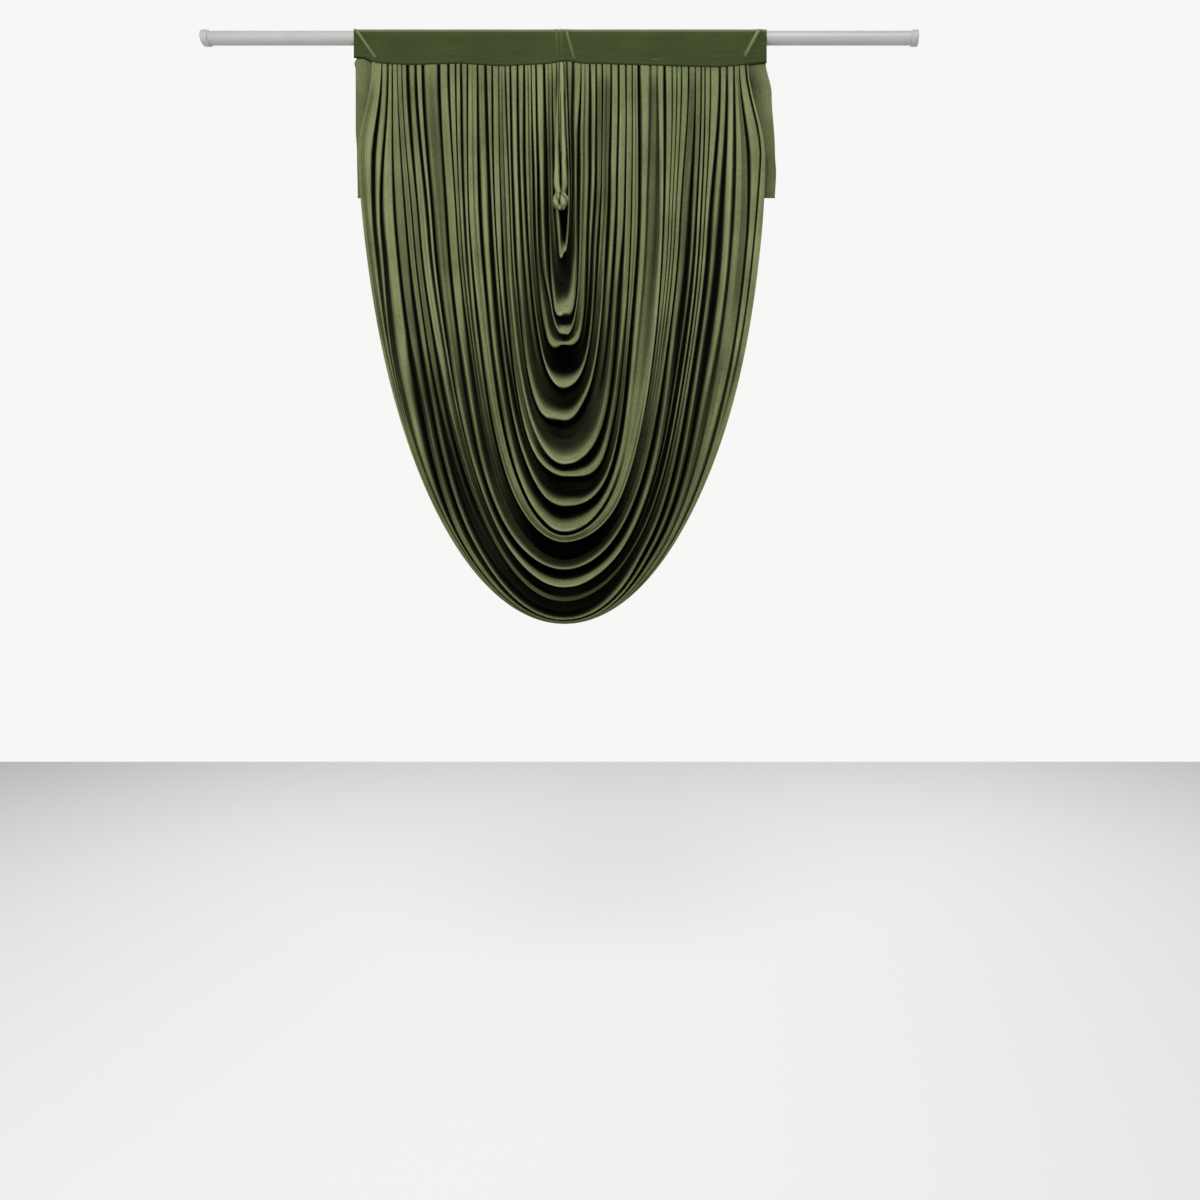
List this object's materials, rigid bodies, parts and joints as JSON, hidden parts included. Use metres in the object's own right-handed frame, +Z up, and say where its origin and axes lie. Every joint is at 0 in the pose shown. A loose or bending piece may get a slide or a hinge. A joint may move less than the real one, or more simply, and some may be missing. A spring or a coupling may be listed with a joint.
{
  "type": "swag and tail drape on a rod",
  "caption": "Gathered swag drape with nested U folds, a flat rod-pocket heading and short side tails, hanging on a plain round rod.",
  "frame": {"origin": "on the rod's axis, in line with the middle of the heading", "axes": "+X along the rod, -Y towards the front of the drape, +Z up"},
  "size_m": [1.7866, 0.1026, 1.4807],
  "materials": {
    "knit_cloth": "matte with a faint sheen",
    "knit_heading": "matte with a faint sheen",
    "painted_rod": "satin"
  },
  "bodies": {
    "root": {"heading": "knit_heading", "swag": "knit_cloth", "tail_left": "knit_cloth", "tail_right": "knit_cloth", "rod": "painted_rod", "rod_cap_left": "painted_rod", "rod_cap_right": "painted_rod"}
  },
  "joints": []
}
